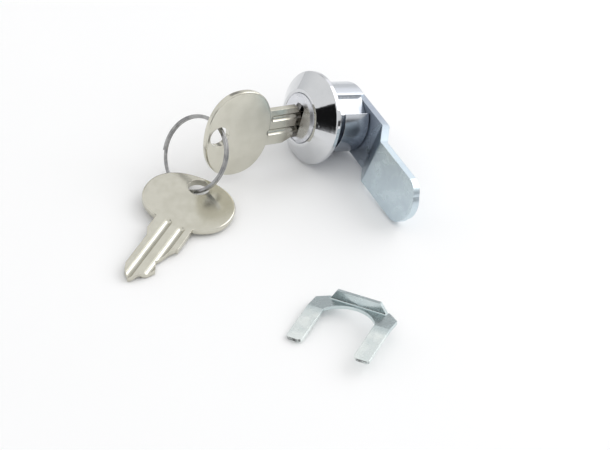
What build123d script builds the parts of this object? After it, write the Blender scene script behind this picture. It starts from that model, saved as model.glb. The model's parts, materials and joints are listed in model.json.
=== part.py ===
from build123d import *
from math import atan2, cos, degrees, pi, radians, sin, sqrt
import os

# Cam lock with its key in the keyway, a split ring with the spare key, and a loose
# horseshoe retaining clip. Everything lies on one table, at Z = 0.
#
# The lock is modelled in a face frame: x along the cam's arm side, y up the face,
# z out of the face towards the person with the key. z = 0 is the flange's back, which
# seats on the panel. lockFrame then lays that frame down on the table.

# ---- housing ----
flangeDia = 25.0            # rim of the conical flange
rimLand = 1.4               # straight edge of the rim
coneHeight = 3.4            # from the rim's land to the front lip
lipDia = 15.5               # flat lip round the plug
barrelDia = 19.0            # barrel through the panel
barrelLength = 11.7         # flange back to the barrel's rear
edgeRound = 0.35            # soft edge of the die casting
channelWidth = 5.4          # two lengthwise channels in the barrel
channelDepth = 2.0
channelAngle = 55.0         # first channel, from x towards y; the other is opposite
clipSlotStart = 2.4         # from the flange back to the clip's slots
clipSlotWidth = 1.3
clipFlats = 14.2            # across the floors of the two clip slots

# ---- plug ----
headDia = 13.3              # head of the plug
headDepth = 3.15            # thickness of the plug's head
headProud = 0.6             # the plug's face stands out of the lip
headBevelWide = 0.8         # bevel round the plug's face
headBevelHigh = 0.55
plugDia = 12.4              # body that turns in the housing
turnGap = 0.05              # radial running clearance of the plug
seatGap = 0.1               # axial clearance behind the head and under the cam
seatBevel = 0.4             # lead-in bevel of the plug's seat
lugGap = 0.08               # round the stop lug's run
tailSide = 6.4              # square drive for the cam
tailGap = 0.08              # cam square over the tail, each side
tailChamfer = 0.6
turnRange = 90.0            # quarter turn
lugArc = 26.0               # stop lug on the plug's rear
lugStart = 102.0            # lug's first side at rest, from x towards y
lugThickness = 1.5
lugReach = 0.75             # how far the lug stands out of the plug body
keyTurn = 95.8              # key's width direction, from x towards y

# ---- wafers ----
waferCount = 5
waferFirst = 4.6            # first wafer, behind the flange back
waferPitch = 1.15
waferThick = 0.5
waferWidth = 6.6
waferRise = 0.45            # travel of a wafer when the key is out
waferGap = 0.06             # wafer in its window, each side
waferLug = 1.3              # shoulder that its spring pushes on
springDia = 1.1
springWire = 0.16
springTurns = 4
springLength = 2.4
retainerThick = 0.7
retainerReach = 0.55        # retainer stands out of the plug into the housing's groove
retainerPlace = 2.2         # behind the flange back
retainerSpring = 2.0        # length of the retainer's spring
retainerGap = 0.12          # retainer in the housing's groove

# ---- cam, screw and washer ----
camThick = 2.1
camReach = 39.4             # axis to tip
camRootHalf = 7.4           # half width at the root
camArmHalf = 6.85           # half width of the arm
camBendStart = 13.0         # where the crank leaves the root
camBendEnd = 19.0           # where the crank joins the arm
camCrank = 4.3              # the arm stands forward of the root
camTipRadius = 9.5          # blunt tip
camCorner = 3.2             # corners of the tip
camDrop = -4.9              # arm's direction at rest, from x towards y
camBendRound = 1.1
screwDia = 4.0
screwBite = 1.5             # screw's reach into the plug past the tail
screwThread = 0.35          # depth of the thread, left plain
screwSlot = (4.6, 0.9, 1.2) # cross recess: length, width, depth
screwHeadDia = 7.6
screwHeadHeight = 2.4
washerDia = 7.0
washerThick = 0.9
washerGap = 0.15            # round the screw
washerSplit = 0.8           # width of its cut

# ---- keys ----
bowLength = 19.4            # along the blade
bowWidth = 24.6             # across the blade
bowPower = 2.25             # fullness of the oval, 2 is an ellipse
keyThick = 1.8
keyHoleDia = 5.7
keyHolePlace = 5.8          # from the bow's centre, away from the blade
neckEnd = 17.4              # the stop shoulder, from the bow's centre
neckLow, neckHigh = -4.7, 5.6
bladeLow, bladeHigh = -3.5, 5.0
keyReach = 32.2             # bow's centre to the blade's tip
grooveDepth = 0.55
grooveRound = 1.05          # radius of the grooves' section
bowEdge = 0.4               # rounded rim of the bow

# ---- key in the plug ----
keyStandOff = 18.25         # bow's centre to the plug's face at rest
keyOffset = -1.706          # the key's line from the plug's axis at the face, along the width
keySag = 6.4                # the half-drawn key droops by this angle
bladeGap = 0.09             # blade in the keyway, each side
slotClear = 0.25            # keyway beyond the blade's two edges
mouthGap = 0.85             # the keyway's mouth is wider by this on each side
mouthDepth = 1.0
mouthRound = 1.2

# ---- split ring ----
ringRadius = 9.9            # centre line
ringWire = 1.0              # over the two coils
ringSlit = 0.05             # between the coils
ringTurns = 1.9
ringFromHole = (-0.22253, -0.51253, -0.61192)   # centre from the key's hole, in ring radii
ringNormal = (0.208, -0.817, 0.537)
ringStartTurn = 60.0        # where the coil's first end lies

# ---- spare key on the table ----
spareHoleFromRing = (0.67438, -0.22380)   # over the table, from the ring's centre, in ring radii
spareHeight = 2.46
spareAngles = (-53.7, 2.5, -3.5)    # yaw, then pitch, then roll

# ---- retaining clip on the table ----
clipWidth = 22.2            # over the legs
clipGap = 13.9              # between the legs
clipLegLength = 17.4        # back edge to tips
clipThick = 0.9
clipBack = 1.8              # strip behind the inner arc
clipArcRise = 3.8           # depth of the inner arc
clipCrease = 5.85            # back edge to the creases of the legs
clipTabHeight = 2.7
clipTabLength = 16.4
clipTabInset = 2.3          # the tab's ends lean in
clipShoulder = 2.0          # cut-off corners beside the tab
clipBendRound = 0.7         # outside of the tab's bend
clipBow = 11.9               # how far each leg is bent down at its crease
clipPlace = (60.5, -21.5)
clipAngles = (-59.9, -5.0, 9.0)

# ---- how the lock lies ----
tilt = degrees(atan2(flangeDia / 2 - barrelDia / 2, barrelLength))
rimHeight = flangeDia / 2 * cos(radians(tilt))


def moved(shape, plane):
    return plane.location * shape


def disc(radius, low, high):
    body = Cylinder(radius, high - low, align=(Align.CENTER, Align.CENTER, Align.MIN))
    return Pos(0, 0, low) * body


def slab(x0, x1, y0, y1, z0, z1):
    body = Box(x1 - x0, y1 - y0, z1 - z0, align=(Align.MIN, Align.MIN, Align.MIN))
    return Pos(x0, y0, z0) * body


def sector(inner, outer, start, sweep, low, high):
    """Part of a ring about z, from the angle start through sweep degrees."""
    a0, a1, am = (radians(start + sweep * f) for f in (0, 1, 0.5))
    at = lambda r, t: (r * cos(t), r * sin(t))
    edge = (Polyline(at(inner, a1), at(inner, a0), at(outer, a0))
            + ThreePointArc(at(outer, a0), at(outer, am), at(outer, a1))
            + Line(at(outer, a1), at(inner, a1)))
    return Pos(0, 0, low) * extrude(make_face(edge), high - low)


def largest(shape):
    return max(shape.solids(), key=lambda s: s.volume)


# frames: the lock on the table, the turned plug, the key's own axes
lockFrame = Plane(origin=(0, 0, rimHeight), x_dir=(1, 0, 0),
                  z_dir=(0, -cos(radians(tilt)), sin(radians(tilt))))
faceZ = rimLand + coneHeight                  # front lip
plugFaceZ = faceZ + headProud
rearZ = -barrelLength
keyFace = Rot(0, 0, keyTurn)                  # x of this frame is the key's width direction


# key axes in the face frame: along the blade, across it, and out of its flat side
sag = radians(keySag)
widthDir = Vector(cos(radians(keyTurn)), sin(radians(keyTurn)), 0)
bladeDir = Vector(0, 0, -1) * cos(sag) + widthDir * sin(sag)
keyOrigin = Vector(0, 0, plugFaceZ) + widthDir * keyOffset - bladeDir * keyStandOff
acrossDir = widthDir * cos(sag) - Vector(0, 0, -1) * sin(sag)
keyPlane = Plane(origin=keyOrigin, x_dir=bladeDir, z_dir=bladeDir.cross(acrossDir))

# the ring hangs in the key's hole, and the spare key lies under the ring
keyHole = (lockFrame.location * keyPlane.location * Pos(-keyHolePlace, 0, 0)).position
ringCentre = keyHole + Vector(*ringFromHole) * ringRadius
spareHole = Vector(ringCentre.X, ringCentre.Y) + Vector(*spareHoleFromRing) * ringRadius
spareTurn = radians(spareAngles[0])
spareCentre = (spareHole.X + keyHolePlace * cos(spareTurn),
               spareHole.Y + keyHolePlace * sin(spareTurn), spareHeight)


def make_key():
    """Bow centred on the origin, blade along +x, cuts on the +y side."""
    halfL, halfW = bowLength / 2, bowWidth / 2
    oval = []
    for i in range(24):
        t = 2 * pi * (i + 0.5) / 24
        c, s = cos(t), sin(t)
        oval.append((halfL * abs(c) ** (2 / bowPower) * (1 if c > 0 else -1),
                     halfW * abs(s) ** (2 / bowPower) * (1 if s > 0 else -1)))
    bow = extrude(make_face(Spline(*oval, periodic=True)), keyThick / 2, both=True)
    bow = fillet([e for e in bow.edges() if abs(abs(e.center().Z) - keyThick / 2) < 0.01], bowEdge)
    depth = bladeHigh - bladeLow
    at = lambda f, y: (neckEnd + f * (keyReach - neckEnd), y)
    blade = Polyline(
        (0, neckLow), (neckEnd - 3.2, neckLow), (neckEnd - 0.8, bladeLow), at(0.72, bladeLow),
        at(0.86, bladeLow + 0.10 * depth), at(1.0, bladeLow + 0.34 * depth),
        at(0.94, bladeLow + 0.46 * depth), at(0.82, bladeLow + 0.56 * depth),
        at(0.76, bladeLow + 0.74 * depth), at(0.61, bladeLow + 0.88 * depth),
        at(0.48, bladeLow + 0.78 * depth), at(0.42, bladeLow + 0.70 * depth),
        at(0.30, bladeLow + 0.80 * depth), at(0.10, bladeLow + 0.90 * depth),
        (neckEnd, bladeHigh), (neckEnd, neckHigh), (0, neckHigh), (0, neckLow))
    key = bow + extrude(make_face(blade), keyThick / 2 - 0.05, both=True)
    key -= Pos(-keyHolePlace, 0, 0) * Cylinder(keyHoleDia / 2, keyThick * 2)
    # two milled grooves on the marked side and one on the other
    for y, start, side in ((bladeLow + 0.30 * depth, bowLength / 2, 1),
                           (bladeLow + 0.77 * depth, bowLength / 2 + 0.8, 1),
                           (bladeLow + 0.52 * depth, bowLength / 2 + 0.4, -1)):
        run = keyReach + 2 - start
        lift = side * (keyThick / 2 - 0.05 - grooveDepth + grooveRound)
        cut = Pos(start + run / 2, y, lift) * Cylinder(grooveRound, run, rotation=(0, 90, 0))
        key -= cut + Pos(start, y, lift) * Sphere(grooveRound)
    return largest(key)


def keyway():
    """Room for the blade, a straight slot along the key's own axis."""
    half = keyThick / 2 + bladeGap
    low, high = bladeLow - slotClear, bladeHigh + slotClear
    deep = keyReach + 2.2
    return moved(slab(neckEnd - 4, deep, low, high, -half, half), keyPlane)


def keyway_mouth():
    """Wider recess with round ends in the plug's face, where the key goes in."""
    half = keyThick / 2 + bladeGap + mouthGap
    low, high = keyOffset + neckLow - slotClear, keyOffset + neckHigh + slotClear
    mouth = slab(low, high, -half, half, plugFaceZ - mouthDepth, plugFaceZ + 1)
    return keyFace * fillet(mouth.edges().filter_by(Axis.Z), mouthRound)


def make_housing():
    lip, rim = lipDia / 2, flangeDia / 2
    profile = Polyline((0, rearZ), (barrelDia / 2, rearZ), (barrelDia / 2, 0), (rim, 0),
                       (rim, rimLand), (lip, faceZ), (0, faceZ), (0, rearZ))
    body = revolve(Plane.XZ * make_face(profile), Axis.Z)
    body = fillet([e for e in body.edges().filter_by(GeomType.CIRCLE)
                   if abs(e.radius - rim) < 0.01 or abs(e.radius - barrelDia / 2) < 0.01
                   and e.center().Z < rearZ + 0.1], edgeRound)
    body -= disc(plugDia / 2 + turnGap, rearZ - 1, faceZ + 1)
    body -= disc(headDia / 2 + turnGap, plugFaceZ - headDepth - seatGap, faceZ + 1)
    # a shallow bevel leads into the plug's seat
    seat = headDia / 2 + turnGap
    body -= Pos(0, 0, faceZ - seatBevel / 2) * Cone(seat, seat + seatBevel, seatBevel,
                                           align=(Align.CENTER, Align.CENTER, Align.MIN))
    for turn in (channelAngle, channelAngle + 180):
        floor = barrelDia / 2 - channelDepth
        body -= Rot(0, 0, turn) * slab(floor, barrelDia, -channelWidth / 2, channelWidth / 2,
                                       rearZ - 1, -clipSlotStart / 2)
    for side in (0, 180):
        body -= Rot(0, 0, side) * slab(clipFlats / 2, barrelDia, -barrelDia, barrelDia,
                                       -clipSlotStart - clipSlotWidth, -clipSlotStart)
    # grooves that take the risen wafers, where the key can be drawn
    for turn in (keyTurn + 180, keyTurn + 180 + turnRange):
        reach = plugDia / 2 + waferRise + 0.15
        groove = slab(0, reach, -waferWidth / 2 - 0.2, waferWidth / 2 + 0.2,
                      rearZ - 1, -waferFirst + 0.4) & disc(reach, rearZ - 1, 0)
        body -= Rot(0, 0, turn) * groove
    # groove all round for the retaining wafer, and the run of the stop lug
    mid = -retainerPlace
    body -= disc(plugDia / 2 + retainerReach + retainerGap, mid - retainerThick / 2 - retainerGap,
                 mid + retainerThick / 2 + retainerGap)
    body -= sector(plugDia / 2 - 0.5, plugDia / 2 + lugReach + lugGap, lugStart - 0.6,
                   lugArc + turnRange + 1.2, rearZ - 1, rearZ + lugThickness + 2 * lugGap)
    return largest(body)


def wafer_z(i):
    return -waferFirst - i * waferPitch


def screw_end():
    """The screw stops short of the last wafer."""
    return min(rearZ + screwBite, wafer_z(waferCount - 1) - 2 * waferThick)


def spring_side(i):
    return 1 if i % 2 == 0 else -1


def wafer_room(thick, gap, place):
    """Window across the plug, along the key's width."""
    half = waferWidth / 2 + gap
    return keyFace * slab(-plugDia, plugDia, -half, half, place - thick / 2 - gap, place + thick / 2 + gap)


def make_plug():
    body = disc(headDia / 2, plugFaceZ - headDepth, plugFaceZ) + disc(plugDia / 2, rearZ, plugFaceZ - 1)
    rim = [e for e in body.edges().filter_by(GeomType.CIRCLE) if e.center().Z > plugFaceZ - 0.01]
    body = chamfer(rim, headBevelHigh, headBevelWide, reference=body.faces().sort_by(Axis.Z)[-2])
    tail = slab(-tailSide / 2, tailSide / 2, -tailSide / 2, tailSide / 2,
                rearZ - seatGap - camThick + 0.1, rearZ)
    tail = Rot(0, 0, camDrop) * chamfer(tail.edges().filter_by(Axis.Z), tailChamfer)
    body += tail
    body += sector(plugDia / 2 - 0.5, plugDia / 2 + lugReach, lugStart, lugArc, rearZ, rearZ + lugThickness)
    body -= keyway() + keyway_mouth()
    for i in range(waferCount):
        room = wafer_room(waferThick, waferGap, wafer_z(i)) & disc(plugDia / 2 + 1, rearZ, 0)
        body -= room
        body -= spring_pocket(spring_place(i), springLength)
    body -= wafer_room(retainerThick, waferGap, -retainerPlace) & disc(plugDia / 2 + 1, rearZ, 0)
    body -= spring_pocket(retainer_spring_place, retainerSpring)
    body -= disc(screwDia / 2 - screwThread, rearZ - camThick - 1, screw_end() + 0.3)
    return largest(body)


def spring_place(i):
    """Centre of a wafer's spring, in the key-turned face frame."""
    out = waferWidth / 2 - waferLug / 2
    return (1.25, spring_side(i) * out, wafer_z(i))


retainer_spring_place = (retainerSpring / 2, waferWidth / 2 - waferLug / 2, -retainerPlace)


def spring_pocket(place, length):
    room = Cylinder((springDia + 0.1) / 2, length + 0.1, rotation=(0, 90, 0))
    return keyFace * (Pos(*place) * room)


def make_wafer(i):
    z, half = wafer_z(i), waferWidth / 2
    plate = slab(-plugDia, plugDia, -half, half, z - waferThick / 2, z + waferThick / 2)
    plate &= disc(plugDia / 2 - 0.1, rearZ - 5, 5)
    depth = plugFaceZ - z
    drop = depth * sin(sag)
    low = keyOffset + bladeLow + drop - 0.3
    high = keyOffset + bladeHigh - 0.8 + drop + waferRise + 0.15
    window = keyThick / 2 + bladeGap + 0.1
    plate -= slab(low, high, -window, window, z - 2, z + 2)
    # a notch beside the window holds the spring
    x, y, _ = spring_place(i)
    side = spring_side(i)
    y0, y1 = sorted((side * (half + 1), side * (half - waferLug)))
    plate -= slab(x - springLength / 2 - 0.05, x + springLength / 2 + 0.1 + waferRise, y0, y1, z - 2, z + 2)
    return keyFace * largest(plate)


def make_spring(place, length):
    radius = (springDia - springWire) / 2
    path = Helix(pitch=(length - springWire) / springTurns, height=length - springWire, radius=radius)
    wire = sweep(Plane(origin=path @ 0, z_dir=path % 0) * Circle(springWire / 2), path=path, is_frenet=True)
    x, y, z = place
    return keyFace * (Pos(x - length / 2 + springWire / 2, y, z) * (Rot(0, 90, 0) * wire.solid()))


def make_retainer():
    z, half = -retainerPlace, waferWidth / 2
    plate = slab(0, plugDia, -half, half, z - retainerThick / 2, z + retainerThick / 2)
    reach = plugDia / 2 + retainerReach
    plate &= disc(reach, rearZ - 5, 5)
    depth = plugFaceZ - z
    high = keyOffset + bladeHigh + depth * sin(sag) + 0.3
    window = keyThick / 2 + bladeGap + 0.1
    plate -= slab(-1, high, -window, window, z - 2, z + 2)
    plate -= slab(-1, retainerSpring + 0.05, half - waferLug, half + 1, z - 2, z + 2)
    return keyFace * largest(plate)


def cam_outline(half_root, half_arm):
    """Plan of the cam, its root at the origin and its tip along +x."""
    tipX = camReach
    bow = camTipRadius
    rise = bow - sqrt(bow ** 2 - (half_arm - 1.0) ** 2)
    side = tipX - rise
    edge = (ThreePointArc((0, half_root), (-half_root, 0), (0, -half_root))
            + Polyline((0, -half_root), (camBendStart, -half_root), (camBendEnd, -half_arm),
                       (side - camCorner, -half_arm))
            + ThreePointArc((side - camCorner, -half_arm), (side - camCorner * 0.3, -half_arm + 0.9),
                            (side + 0.6, -half_arm + 3.0))
            + ThreePointArc((side + 0.6, -half_arm + 3.0), (tipX, 0), (side + 0.6, half_arm - 3.0))
            + ThreePointArc((side + 0.6, half_arm - 3.0), (side - camCorner * 0.3, half_arm - 0.9),
                            (side - camCorner, half_arm))
            + Polyline((side - camCorner, half_arm), (camBendEnd, half_arm), (camBendStart, half_root),
                       (0, half_root)))
    return make_face(edge)


def make_cam():
    front = rearZ - seatGap
    lift = camCrank
    t = camThick
    slope = atan2(lift, camBendEnd - camBendStart)
    shift = t * (1 - cos(slope)) / sin(slope)
    side = Polyline((-camRootHalf - 2, front), (camBendStart, front), (camBendEnd, front + lift),
                    (camReach + 2, front + lift), (camReach + 2, front + lift - t),
                    (camBendEnd + shift, front + lift - t), (camBendStart + shift, front - t),
                    (-camRootHalf - 2, front - t), (-camRootHalf - 2, front))
    strip = extrude(Plane.XZ * make_face(side), camRootHalf + 3, both=True)
    bends = [e for e in strip.edges().filter_by(Axis.Y)
             if camBendStart - 1 < e.center().X < camBendEnd + t]
    strip = fillet(bends, camBendRound)
    plan = Pos(0, 0, front - 2 * t - 1) * extrude(cam_outline(camRootHalf, camArmHalf), 3 * t + lift + 3)
    cam = strip & plan
    hole = tailSide / 2 + tailGap
    square = slab(-hole, hole, -hole, hole, front - t - 1, front + 1)
    cam -= chamfer(square.edges().filter_by(Axis.Z), tailChamfer)
    return Rot(0, 0, camDrop) * largest(cam)


def make_washer():
    top = rearZ - seatGap - camThick
    body = disc(washerDia / 2, top - washerThick, top) - disc(screwDia / 2 + washerGap, top - 5, top + 5)
    return largest(body - slab(0, washerDia, -washerSplit / 2, washerSplit / 2, top - 5, top + 5))


def make_screw():
    top = rearZ - seatGap - camThick - washerThick
    head = disc(screwHeadDia / 2, top - screwHeadHeight, top)
    head = fillet([e for e in head.edges().filter_by(GeomType.CIRCLE)
                   if e.center().Z < top - 0.1], screwHeadHeight * 0.45)
    shank = disc(screwDia / 2 - screwThread, top - 0.5, screw_end())
    long, wide, deep = screwSlot
    recess = slab(-long / 2, long / 2, -wide / 2, wide / 2, top - screwHeadHeight - 1,
                  top - screwHeadHeight + deep)
    return largest(head + shank - recess - Rot(0, 0, 90) * recess)


def make_ring():
    """Split ring: a flat wire coiled nearly twice round, its ends cut square."""
    plane = Plane(origin=ringCentre, x_dir=Vector(*ringNormal).cross(Vector(0, 0, 1)), z_dir=ringNormal)
    pitch = ringWire / 2 + ringSlit
    path = Helix(pitch=pitch, height=pitch * ringTurns, radius=ringRadius)
    section = Plane(origin=path @ 0, x_dir=(1, 0, 0), z_dir=path % 0)
    wire = sweep(section * RectangleRounded(ringWire, ringWire / 2, ringWire * 0.18),
                 path=path, is_frenet=True)
    start = Rot(0, 0, ringStartTurn) * (Pos(0, 0, -pitch * ringTurns / 2) * wire.solid())
    return moved(start, plane)


def make_clip():
    """Flat back with a raised tab, legs bent down at their creases; back edge on x = 0."""
    halfW, halfG = clipWidth / 2, clipGap / 2
    radius = (halfG ** 2 + clipArcRise ** 2) / (2 * clipArcRise)
    tip = 1.2
    arcEnd = clipBack + clipArcRise

    def leg(sign):
        y0, y1 = sign * halfG, sign * halfW
        return (Polyline((clipCrease, y0), (clipLegLength - tip, y0))
                + ThreePointArc((clipLegLength - tip, y0),
                                (clipLegLength - tip * 0.29, y0 + sign * tip * 0.29),
                                (clipLegLength, y0 + sign * tip))
                + Polyline((clipLegLength, y0 + sign * tip), (clipLegLength, y1 - sign * 0.5),
                           (clipLegLength - 0.5, y1), (clipCrease, y1), (clipCrease, y0)))

    back = (ThreePointArc((arcEnd, -halfG), (clipBack, 0), (arcEnd, halfG))
            + Polyline((arcEnd, halfG), (clipCrease, halfG), (clipCrease, halfW),
                       (clipShoulder, halfW), (0, clipTabLength / 2), (0, -clipTabLength / 2),
                       (clipShoulder, -halfW), (clipCrease, -halfW), (clipCrease, -halfG),
                       (arcEnd, -halfG)))
    t = clipThick
    plate = extrude(make_face(back), t / 2, both=True)
    for sign in (-1, 1):
        bar = extrude(make_face(leg(sign)), t / 2, both=True)
        hinge = Pos(clipCrease, 0, 0) * (Rot(0, clipBow, 0) * (Pos(-clipCrease, 0, 0) * bar))
        knuckle = Pos(clipCrease, sign * (halfG + halfW) / 2, 0) * Cylinder(
            t / 2, halfW - halfG, rotation=(90, 0, 0))
        plate += hinge + knuckle
    h = clipTabHeight
    tab = make_face(Polyline((-clipTabLength / 2, 0), (clipTabLength / 2, 0),
                             (clipTabLength / 2 - clipTabInset, h + t),
                             (-clipTabLength / 2 + clipTabInset, h + t),
                             (-clipTabLength / 2, 0)))
    tab = Plane(origin=(0, 0, -t / 2), x_dir=(0, 1, 0), z_dir=(1, 0, 0)) * tab
    plate = largest(plate + extrude(tab, t, dir=(1, 0, 0)))
    bend = [e for e in plate.edges().filter_by(Axis.Y)
            if abs(e.center().X - t) < 0.01 and abs(e.center().Z - t / 2) < 0.01]
    heel = [e for e in plate.edges().filter_by(Axis.Y)
            if abs(e.center().X) < 0.01 and abs(e.center().Z + t / 2) < 0.01]
    return largest(fillet(heel, clipBendRound).fillet(clipBendRound / 2, bend))


def lay(shape, place, angles, low=None):
    """Turn a piece by yaw, pitch and roll and set it down, on the table where low is given."""
    yaw, pitch, roll = angles
    turned = Rot(0, 0, yaw) * (Rot(0, pitch, 0) * (Rot(roll, 0, 0) * shape))
    set_down = Pos(*place) * turned if len(place) == 3 else Pos(place[0], place[1], 0) * turned
    if low is None:
        return set_down
    return Pos(0, 0, low - set_down.bounding_box().min.Z) * set_down


parts = {"housing": make_housing(), "plug": make_plug(), "cam": make_cam(),
         "cam_screw": make_screw(), "lock_washer": make_washer(), "retainer_wafer": make_retainer(),
         "retainer_spring": make_spring(retainer_spring_place, retainerSpring)}
for i in range(waferCount):
    parts[f"wafer_{i + 1}"] = make_wafer(i)
    parts[f"wafer_spring_{i + 1}"] = make_spring(spring_place(i), springLength)
parts["key"] = moved(make_key(), keyPlane)
parts = {name: moved(shape, lockFrame) for name, shape in parts.items()}
parts["spare_key"] = lay(make_key(), spareCentre, spareAngles)
parts["key_ring"] = make_ring()
parts["spring_clip"] = lay(make_clip(), clipPlace, clipAngles, low=0)

# origin: on the table, under the middle of everything
whole = Compound(children=[Compound(children=list(s.solids())) for s in parts.values()]).bounding_box()
shift = Pos(-whole.center().X, -whole.center().Y, -whole.min.Z)
print("shift", *shift.position, "size", *whole.size)

os.makedirs("parts", exist_ok=True)
for name, shape in parts.items():
    export_step(shift * shape, f"parts/{name}.step")
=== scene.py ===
import json
from math import cos, radians, sin, tau

import bpy
from mathutils import Matrix, Vector

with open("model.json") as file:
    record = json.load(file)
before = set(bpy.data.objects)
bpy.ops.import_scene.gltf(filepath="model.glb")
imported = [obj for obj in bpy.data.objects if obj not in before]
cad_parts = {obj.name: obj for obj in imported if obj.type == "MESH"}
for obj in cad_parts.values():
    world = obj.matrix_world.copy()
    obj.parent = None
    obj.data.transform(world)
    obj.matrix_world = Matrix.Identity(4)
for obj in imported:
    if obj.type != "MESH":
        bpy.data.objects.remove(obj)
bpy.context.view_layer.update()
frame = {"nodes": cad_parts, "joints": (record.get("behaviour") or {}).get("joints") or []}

# A small cam lock with its key in place, a spare key on a split ring and a loose
# retaining clip. Blender lengths are in metres; mm turns millimetres into metres.
mm = 0.001

joints = {joint["name"]: joint for joint in frame["joints"]}
rimCentre = Vector(joints["plug_turn"]["pos_m"])        # where the lock's axis meets the flange back
noseWay = Vector(joints["plug_turn"]["axis"]).normalized()   # out of the lock's face
pullWay = Vector(joints["key_slide"]["axis"]).normalized()   # the way the key pulls out
sideWay = Vector((1, 0, 0))                              # from the lock's axis to the cam's arm
upFace = noseWay.cross(sideWay).normalized()             # up the lock's face


# ---- camera ----

cameraLook = {
    "place": (297.92, -207.52, 267.43),    # mm from the middle of the flange's back
    "right": (0.5031, 0.8587, 0.0974),
    "up": (-0.5954, 0.2627, 0.7592),
    "lens": 98.95, "sensor": 36,           # mm
    "reach": (0.01, 20),                   # m, nearest and farthest thing seen
}


def setCamera(look):
    camera = bpy.data.cameras.new("studioCamera")
    camera.lens, camera.sensor_width = look["lens"], look["sensor"]
    camera.clip_start, camera.clip_end = look["reach"]
    right, up = Vector(look["right"]).normalized(), Vector(look["up"]).normalized()
    back = right.cross(up).normalized()
    holder = bpy.data.objects.new("studioCamera", camera)
    turn = Matrix((right, up, back)).transposed().to_4x4()
    holder.matrix_world = Matrix.Translation(rimCentre + Vector(look["place"]) * mm) @ turn
    bpy.context.scene.collection.objects.link(holder)
    bpy.context.scene.camera = holder


setCamera(cameraLook)
print("camera set")


# ---- shader helpers ----

class Flow:                                 # one output socket that takes Python maths
    def __init__(self, maker, socket):
        self.maker, self.socket = maker, socket

    def sum(self, operation, *values):
        return self.maker.add("ShaderNodeMath", {"operation": operation}, dict(enumerate(values)))

    def __add__(self, other):
        return self.sum("ADD", self, other)

    def __sub__(self, other):
        return self.sum("SUBTRACT", self, other)

    def __mul__(self, other):
        return self.sum("MULTIPLY", self, other)

    def __rsub__(self, other):
        return self.sum("SUBTRACT", other, self)

    def __abs__(self):
        return self.sum("ABSOLUTE", self)

    __radd__, __rmul__ = __add__, __mul__

    def step(self, low, high):              # 0 below low, 1 above high, smooth between
        return self.maker.add("ShaderNodeMapRange", {"interpolation_type": "SMOOTHSTEP"},
                              {"Value": self, "From Min": low, "From Max": high})


class NodeMaker:                            # adds nodes to one tree
    def __init__(self, tree):
        self.tree = tree
        tree.nodes.clear()

    def add(self, kind, settings=None, sockets=None, out=0):
        node = self.tree.nodes.new(kind)
        for name, value in (settings or {}).items():
            setattr(node, name, value)
        for name, value in (sockets or {}).items():
            if isinstance(value, Flow):
                self.tree.links.new(value.socket, node.inputs[name])
            elif value is not None:
                node.inputs[name].default_value = value
        return Flow(self, node.outputs[out]) if len(node.outputs) else node

    def vector(self, operation, *values, out=0):
        return self.add("ShaderNodeVectorMath", {"operation": operation}, dict(enumerate(values)), out)

    def blend(self, factor, first, second):   # sockets 6, 7 and output 2 are a Mix node's colours
        return self.add("ShaderNodeMix", {"data_type": "RGBA"}, {0: factor, 6: first, 7: second}, 2)


class Finish(NodeMaker):                    # one material
    def __init__(self, name):
        self.material = bpy.data.materials.new(name)
        self.material.use_nodes = True
        super().__init__(self.material.node_tree)
        place = self.add("ShaderNodeTexCoord", out="Object")
        fromRim = self.vector("SUBTRACT", place, tuple(rimCentre))
        self.millimetres = self.vector("MULTIPLY", fromRim, (1 / mm, 1 / mm, 1 / mm))

    def noise(self, size, detail=2.0, rough=0.5, stretch=None, warp=0.0):
        where = self.millimetres
        if stretch:                         # (direction, how many times longer along it)
            along, times = stretch
            share = self.along(along) * (1 / times - 1)
            shift = self.add("ShaderNodeVectorMath", {"operation": "SCALE"},
                             {0: tuple(along), "Scale": share})
            where = self.vector("ADD", where, shift)
        return self.add("ShaderNodeTexNoise", None, {
            "Vector": where, "Scale": 1 / size, "Detail": detail, "Roughness": rough,
            "Distortion": warp})

    def along(self, way):                   # mm from the flange back's middle along a direction
        return self.vector("DOT_PRODUCT", self.millimetres, tuple(way), out=1)

    def fromAxis(self):                     # mm from the lock's axis
        return self.vector("LENGTH", self.vector("CROSS_PRODUCT", self.millimetres, tuple(noseWay)), out=1)

    def softNormal(self, radius):           # the normal with its edges rounded by radius mm
        return self.add("ShaderNodeBevel", {"samples": 6}, {"Radius": radius * mm})

    def edges(self, radius):                # 1 on sharp edges, 0 on flats
        true = self.add("ShaderNodeNewGeometry", out="True Normal")
        level = self.vector("DOT_PRODUCT", self.softNormal(radius), true, out=1)
        return (1 - level).step(0.01, 0.25)

    def bump(self, height, look):           # depth in mm
        depth, strength = look["bump"]
        normal = self.softNormal(look["edge"]) if "edge" in look else None
        return self.add("ShaderNodeBump", None, {
            "Height": height, "Distance": depth * mm, "Strength": strength, "Normal": normal})

    def finish(self, sockets):
        shader = self.add("ShaderNodeBsdfPrincipled", None, sockets)
        self.add("ShaderNodeOutputMaterial", None, {"Surface": shader})
        return self.material

    def metal(self, colour, rough, height, look):
        return self.finish({"Base Color": colour, "Metallic": 1.0, "Roughness": rough,
                            "Normal": self.bump(height, look)})


def rgb(red, green, blue):
    return (red, green, blue, 1)


def direction(azimuth, elevation):          # degrees
    flat = cos(radians(elevation))
    return Vector((flat * cos(radians(azimuth)), flat * sin(radians(azimuth)), sin(radians(elevation))))


# ---- floor, world and lamps ----

floorLook = {
    "half": 1.6,               # m
    "paper": rgb(0.97, 0.97, 0.97), "cloudColour": rgb(0.95, 0.952, 0.955),
    "cloud": (38, 3), "grain": (0.5, 2),    # each noise: size in mm, detail
    "rough": 0.75, "shine": 0.2, "bump": (0.01, 0.3),
}


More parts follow.
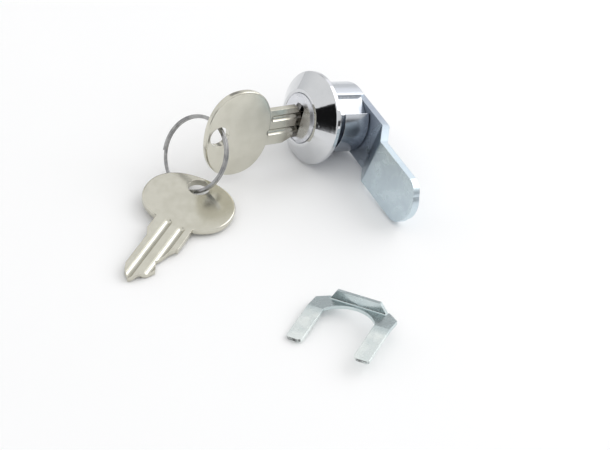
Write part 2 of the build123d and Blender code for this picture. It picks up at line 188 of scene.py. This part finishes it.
def makeFloor(look):
    mesh = bpy.data.meshes.new("floor")
    half = look["half"]
    mesh.from_pydata([(-half, -half, 0), (half, -half, 0), (half, half, 0), (-half, half, 0)],
                     [], [(0, 1, 2, 3)])
    floor = bpy.data.objects.new("floor", mesh)
    bpy.context.scene.collection.objects.link(floor)
    paper = Finish("paleTable")
    cloud, grain = paper.noise(*look["cloud"]), paper.noise(*look["grain"])
    mesh.materials.append(paper.finish({
        "Base Color": paper.blend(cloud, look["paper"], look["cloudColour"]),
        "Roughness": look["rough"] + grain * 0.1, "Specular IOR Level": look["shine"],
        "Normal": paper.bump(grain, look)}))


worldLook = {
    "sky": rgb(0.98, 0.98, 0.98), "horizon": rgb(0.80, 0.81, 0.82),
    "horizonBand": (-0.05, 0.55),           # height where the horizon turns into sky
    "backdrop": rgb(0.97, 0.97, 0.97),      # what stands behind the table
    "strength": 0.95,
    # panels and black flags that the metal reflects: azimuth, elevation,
    # half width and half height in degrees, brightness
    "panels": [(-82, 19, 15, 19, 0.01), (42, 1, 26, 9, 0.10), (72, 37, 13, 11, 1.2),
               (127, 29, 13, 10, 1.25), (158, 33, 14, 8, 0.32)],
    "panelBlue": 1.03, "panelEdge": (0.98, 1.01),
}


def makeWorld(look):
    world = bpy.data.worlds.new("studio")
    bpy.context.scene.world = world
    world.use_nodes = True
    sky = NodeMaker(world.node_tree)
    way = sky.add("ShaderNodeTexCoord", out="Generated")
    height = sky.vector("DOT_PRODUCT", way, (0, 0, 1), out=1)
    colour = sky.blend(height.step(*look["horizonBand"]), look["horizon"], look["sky"])
    for azimuth, elevation, halfWidth, halfHeight, level in look["panels"]:
        ahead, beside = direction(azimuth, elevation), direction(azimuth + 90, 0)
        inside = sky.vector("DOT_PRODUCT", way, tuple(ahead), out=1).step(0, 0.1)
        for axis, half in ((beside, halfWidth), (ahead.cross(beside), halfHeight)):
            reach = abs(sky.vector("DOT_PRODUCT", way, tuple(axis), out=1))
            inner, outer = (sin(radians(half)) * share for share in look["panelEdge"])
            inside = inside * (1 - reach.step(inner, outer))
        colour = sky.blend(inside, colour, rgb(level, level, level * look["panelBlue"]))
    seen = sky.add("ShaderNodeLightPath", out="Is Camera Ray")
    colour = sky.blend(seen, colour, look["backdrop"])
    light = sky.add("ShaderNodeBackground", None, {"Color": colour, "Strength": look["strength"]})
    sky.add("ShaderNodeOutputWorld", None, {"Surface": light})


# each lamp: place from the flange's back in m, size in m, power in W
lampLook = {"softboxes": [((0.10, 0.75, 0.55), 0.90, 3.0)]}


def makeLamps(look):
    for number, (place, size, power) in enumerate(look["softboxes"]):
        lamp = bpy.data.lights.new(f"softbox{number}", "AREA")
        lamp.shape, lamp.size, lamp.energy = "DISK", size, power
        holder = bpy.data.objects.new(f"softbox{number}", lamp)
        spot = rimCentre + Vector(place)
        holder.location = spot
        holder.rotation_euler = (spot - rimCentre).to_track_quat("Z", "Y").to_euler()
        bpy.context.scene.collection.objects.link(holder)


makeFloor(floorLook)
makeWorld(worldLook)
makeLamps(lampLook)
bpy.context.scene.view_settings.view_transform = "Standard"
print("floor, world and lamps made")


# ---- finishes ----
# In every look: a noise is size in mm, detail and roughness; bump is depth in mm and
# strength; edge is how far in mm an edge is rounded and worn; a Band is where a mask
# starts and where it is full.

def dress(material, *nodes):                # the finish goes on to CAD parts
    for name in nodes:
        for slot in frame["nodes"][name].material_slots:
            slot.material = material


chromeLook = {
    "bright": rgb(0.66, 0.67, 0.685), "dull": rgb(0.58, 0.60, 0.62),
    # undersideShade is painted shade for the barrel's underside
    "castColour": rgb(0.58, 0.61, 0.65), "undersideShade": rgb(0.29, 0.32, 0.37),
    "worn": rgb(0.93, 0.94, 0.95), "pitted": rgb(0.30, 0.31, 0.33),
    # rearShade is painted shade for the barrel's rear end beside the cam
    "rearShade": rgb(0.20, 0.22, 0.26), "rearShadeFrom": (-11.0, -7.6),   # mm out from the flange back
    "castBand": (-0.35, 0.05), "lowBand": (-2.0, 6.5), "flankBand": (5.5, 8.5),   # mm
    "polish": 0.035, "castRough": 0.09, "edge": 0.16, "bump": (0.012, 0.55),
    "cloud": (4.5, 3), "peel": (1.3, 1.5), "fine": (0.22, 3, 0.7), "pits": (0.55, 2, 0.6),
    "grimeBand": (0.42, 0.72), "pitBand": (0.70, 0.78),
}


def chromePlate(look):                      # polished cone, plainer casting behind it
    skin = Finish("chromePlate")
    depth = skin.along(noseWay)             # 0 at the flange's back, above 0 on the cone
    behind = 1 - depth.step(*look["castBand"])
    low = 1 - skin.along(upFace).step(*look["lowBand"])
    rear = (1 - depth.step(*look["rearShadeFrom"])) * (1 - skin.along(upFace).step(*look["flankBand"]))
    cloud, peel = skin.noise(*look["cloud"]), skin.noise(*look["peel"])
    fine, pit = skin.noise(*look["fine"]), skin.noise(*look["pits"]).step(*look["pitBand"])
    edge = skin.edges(look["edge"])
    grimeAndShade = (1 - edge) * cloud.step(*look["grimeBand"])
    base = skin.blend(grimeAndShade * 0.35, look["bright"], look["dull"])
    base = skin.blend(behind * 0.8, base, look["castColour"])
    # painted shade: the barrel behind the flange is darkened towards its underside
    base = skin.blend(behind * low * 0.8, base, look["undersideShade"])
    # painted shade: the barrel's rear end, except its top, is darkened in cloudy patches
    base = skin.blend(rear * (0.5 + cloud * 0.5), base, look["rearShade"])
    base = skin.blend(edge * 0.6, base, look["worn"])
    base = skin.blend(pit * 0.55, base, look["pitted"])
    rough = look["polish"] + behind * look["castRough"] + cloud * 0.05 + fine * behind * 0.10 + pit * 0.3
    height = peel * 0.55 + fine * behind * 0.25 - pit * 0.8
    return skin.metal(base, rough, height, look)


dress(chromePlate(chromeLook), "housing")


plugLook = {
    "face": rgb(0.73, 0.74, 0.775), "stain": rgb(0.66, 0.67, 0.71),
    "worn": rgb(0.92, 0.92, 0.94), "scuffed": rgb(0.50, 0.49, 0.53),
    "turnPitch": 0.16,                      # mm between the turning lines
    "rough": 0.2, "edge": 0.12, "bump": (0.006, 0.5),
    "cloud": (3.0, 3), "fine": (0.3, 3, 0.65), "scuffs": (0.35, 2, 0.6, (sideWay, 9)),
    "stainBand": (0.35, 0.75), "scuffBand": (0.60, 0.74),
}


def turnedPlate(look):                      # lathe-turned face
    skin = Finish("turnedPlate")
    cloud, fine = skin.noise(*look["cloud"]), skin.noise(*look["fine"])
    rings = skin.fromAxis() * (tau / look["turnPitch"])
    rings = rings.sum("SINE", rings)
    scuff = skin.noise(*look["scuffs"]).step(*look["scuffBand"])
    edge = skin.edges(look["edge"])
    base = skin.blend(cloud.step(*look["stainBand"]) * 0.6, look["face"], look["stain"])
    base = skin.blend(edge * 0.6, base, look["worn"])
    base = skin.blend(scuff * 0.35, base, look["scuffed"])
    rough = look["rough"] + cloud * 0.10 + fine * 0.06 + scuff * 0.12
    return skin.metal(base, rough, rings * 0.12 + fine * 0.3 - scuff * 0.4, look)


dress(turnedPlate(plugLook), "plug")


sheetLook = {                               # shared by everything stamped from sheet
    "grain": (0.13, 3, 0.6), "grainLength": 14, "spots": (0.8, 2, 0.6), "fine": (0.16, 2, 0.6),
    "mottleBand": (0.36, 0.66), "spotBand": (0.62, 0.74), "bump": (0.012, 0.5),
}


def sheetPlate(name, look):                 # rolled metal with a mottled plate
    skin = Finish(name)
    look = {**sheetLook, **look}
    grain = skin.noise(*look["grain"], (look["grainWay"], look["grainLength"]))
    cloud = skin.noise(look["cloud"], 4, 0.55, None, 0.4)
    spot, fine = skin.noise(*look["spots"]), skin.noise(*look["fine"])
    edge = skin.edges(look["edge"])
    mottle = cloud.step(*look["mottleBand"])
    base = skin.blend(mottle, look["light"], look["deep"])
    base = skin.blend(spot.step(*look["spotBand"]) * 0.4, base, look["spot"])
    # edges get the lighter rim colour: partly wear, partly a painted highlight on edges and folds
    base = skin.blend(edge * 0.65, base, look["rim"])
    base = skin.blend(grain * 0.22, base, look["deep"])
    if "rootShade" in look:                     # painted shade darkens the arm's root near the lock
        unshaded = skin.along(sideWay).step(*look["rootShadeReach"])
        base = skin.blend((1 - unshaded) * (0.55 + cloud * 0.35), base, look["rootShade"])
    if "cut" in look:                       # painted crease shade on the back, and near-black patches on the tips' end faces
        corners = frame["nodes"]["spring_clip"].data.vertices
        reach = [(corner.co - rimCentre).dot(look["grainWay"]) / mm for corner in corners]
        ahead = skin.along(look["grainWay"])
        backShadeBand = (min(reach) + distance for distance in look["backReach"])
        # painted shade: the clip's back is darkened as crease shade
        base = skin.blend((1 - ahead.step(*backShadeBand)) * 0.7, base, look["back"])
        normal = skin.add("ShaderNodeNewGeometry", out="Normal")
        facing = skin.vector("DOT_PRODUCT", normal, tuple(look["grainWay"]), out=1)
        tips = ahead.step(*(max(reach) - distance for distance in look["cutReach"]))
        # the end faces at the leg tips are painted near-black in patches
        tipEndDark = facing.step(*look["cutFacing"]) * tips * (0.25 + spot.step(0.35, 0.6) * 0.7)
        base = skin.blend(tipEndDark, base, look["cut"])
    rough = look["rough"] + mottle * 0.10 + grain * 0.08 - edge * 0.08
    return skin.metal(base, rough, grain * 0.35 + spot * 0.3 + fine * 0.15, look)


camLook = {
    "light": rgb(0.64, 0.74, 0.79), "deep": rgb(0.59, 0.68, 0.745), "spot": rgb(0.53, 0.57, 0.66),
    "rim": rgb(0.84, 0.87, 0.85), "rough": 0.22, "cloud": 5.0, "edge": 0.14, "grainWay": sideWay,
    # rootShade is painted shade on the arm's root near the lock's axis
    "rootShade": rgb(0.34, 0.37, 0.44), "rootShadeReach": (9.0, 19.5),   # mm from the axis, along the arm
}
dress(sheetPlate("camZinc", camLook), "cam")

screwLook = {
    "light": rgb(0.66, 0.67, 0.69), "deep": rgb(0.52, 0.54, 0.58), "spot": rgb(0.42, 0.42, 0.44),
    "rim": rgb(0.86, 0.87, 0.88), "rough": 0.26, "cloud": 1.8, "edge": 0.10, "grainWay": upFace,
}
dress(sheetPlate("screwZinc", screwLook), "cam_screw")

washerLook = {
    "light": rgb(0.45, 0.46, 0.48), "deep": rgb(0.33, 0.34, 0.36), "spot": rgb(0.28, 0.27, 0.26),
    "rim": rgb(0.66, 0.67, 0.68), "rough": 0.3, "cloud": 1.8, "edge": 0.08, "grainWay": upFace,
}
dress(sheetPlate("washerSteel", washerLook), "lock_washer")

springs = [name for name in frame["nodes"] if name.startswith("wafer_spring")]
wafers = [name for name in frame["nodes"] if name.startswith("wafer_") and name not in springs]

brassLook = {
    "light": rgb(0.78, 0.63, 0.34), "deep": rgb(0.62, 0.47, 0.23), "spot": rgb(0.42, 0.32, 0.18),
    "rim": rgb(0.90, 0.76, 0.47), "rough": 0.28, "cloud": 1.5, "edge": 0.05, "grainWay": upFace,
}
dress(sheetPlate("waferBrass", brassLook), "retainer_wafer", *wafers)

springLook = {
    "light": rgb(0.62, 0.62, 0.62), "deep": rgb(0.46, 0.45, 0.44), "spot": rgb(0.36, 0.33, 0.30),
    "rim": rgb(0.80, 0.80, 0.80), "rough": 0.22, "cloud": 0.6, "edge": 0.03, "grainWay": noseWay,
}
dress(sheetPlate("springWire", springLook), "retainer_spring", *springs)

clipLook = {
    "light": rgb(0.90, 0.95, 0.93), "deep": rgb(0.81, 0.88, 0.87), "spot": rgb(0.62, 0.70, 0.71),
    "rim": rgb(0.97, 1.0, 0.98), "rough": 0.17, "cloud": 3.2, "edge": 0.10,
    "grainWay": Vector((0.5015, -0.865, 0)),   # along the legs, to their tips
    # back is painted crease shade towards the clip's back
    "back": rgb(0.52, 0.61, 0.63), "backReach": (6.5, 9.0),    # mm from the clip's back
    "cut": rgb(0.10, 0.10, 0.10), "cutReach": (1.5, 0.9),      # mm from the tips
    "cutFacing": (0.55, 0.8),
}
dress(sheetPlate("clipZinc", clipLook), "spring_clip")


keyLook = {
    "light": rgb(0.66, 0.645, 0.565), "deep": rgb(0.59, 0.575, 0.495), "worn": rgb(0.78, 0.73, 0.60),
    "speck": rgb(0.36, 0.33, 0.28), "scratched": rgb(0.92, 0.91, 0.87),
    "rough": 0.10, "edge": 0.2, "bump": (0.010, 0.4),
    "cloud": (3.6, 4, 0.55), "brushed": (0.10, 3, 0.65), "brushLength": 22, "specks": (0.42, 2, 0.6),
    # two sets of scratches: their noise, its stretch and their Band
    "scratches": [((0.16, 2, 0.5, (direction(24, 0), 26)), (0.655, 0.70)),
                  ((0.18, 2, 0.5, (direction(-61, 18), 24)), (0.665, 0.71))],
    "deepBand": (0.35, 0.70), "wornBand": (0.3, 0.6), "speckBand": (0.69, 0.76),
    # on the key, grimeAndShade is painted shade on the blade near the plug
    "grimeAndShade": rgb(0.15, 0.13, 0.10), "plugShadeReach": (6.2, 11.5),   # mm out from the flange back
}
spareWay = direction(-53.7, 0)              # along the spare key's blade


def nickelPlate(name, look, grainWay, shadedNearPlug=False):
    skin = Finish(name)
    cloud = skin.noise(*look["cloud"])
    brushed = skin.noise(*look["brushed"], (grainWay, look["brushLength"]))
    first, second = (skin.noise(*noise).step(*band) for noise, band in look["scratches"])
    scuff = first.sum("MAXIMUM", first, second)
    speck = skin.noise(*look["specks"]).step(*look["speckBand"])
    edge = skin.edges(look["edge"])
    base = skin.blend(cloud.step(*look["deepBand"]) * 0.7, look["light"], look["deep"])
    base = skin.blend(edge * cloud.step(*look["wornBand"]) * 0.55, base, look["worn"])
    base = skin.blend(speck * 0.5, base, look["speck"])
    base = skin.blend(scuff * 0.12, base, look["scratched"])
    if shadedNearPlug:                                # painted shade darkens the blade near the plug, in cloudy patches
        near = 1 - skin.along(noseWay).step(*look["plugShadeReach"])
        plugShade = near * (0.35 + cloud.step(*look["wornBand"]) * 0.65)
        base = skin.blend(plugShade * 0.8, base, look["grimeAndShade"])
    rough = look["rough"] + cloud * 0.08 + brushed * 0.05 + speck * 0.2 + scuff * 0.06 - edge * 0.03
    height = brushed * 0.10 + cloud * 0.9 - scuff * 0.10 - speck * 0.3
    return skin.metal(base, rough, height, look)


dress(nickelPlate("keyNickel", keyLook, pullWay, shadedNearPlug=True), "key")
dress(nickelPlate("spareNickel", keyLook, spareWay), "spare_key")


ringLook = {
    "light": rgb(0.44, 0.44, 0.435), "deep": rgb(0.26, 0.26, 0.265), "worn": rgb(0.78, 0.78, 0.77),
    "rough": 0.08, "edge": 0.08, "bump": (0.008, 0.5),
    "cloud": (2.4, 3), "fine": (0.2, 3, 0.65), "scratches": (0.14, 2, 0.5, (direction(80, 30), 12)),
    "deepBand": (0.35, 0.7), "scratchBand": (0.64, 0.70),
}


def ringWire(look):                         # drawn spring steel
    skin = Finish("ringWire")
    cloud, fine = skin.noise(*look["cloud"]), skin.noise(*look["fine"])
    scratch = skin.noise(*look["scratches"]).step(*look["scratchBand"])
    base = skin.blend(cloud.step(*look["deepBand"]), look["light"], look["deep"])
    base = skin.blend(skin.edges(look["edge"]) * 0.5, base, look["worn"])
    rough = look["rough"] + cloud * 0.10 + fine * 0.08 + scratch * 0.15
    return skin.metal(base, rough, fine * 0.3 - scratch * 0.5, look)


dress(ringWire(ringLook), "key_ring")
print("finishes dressed")
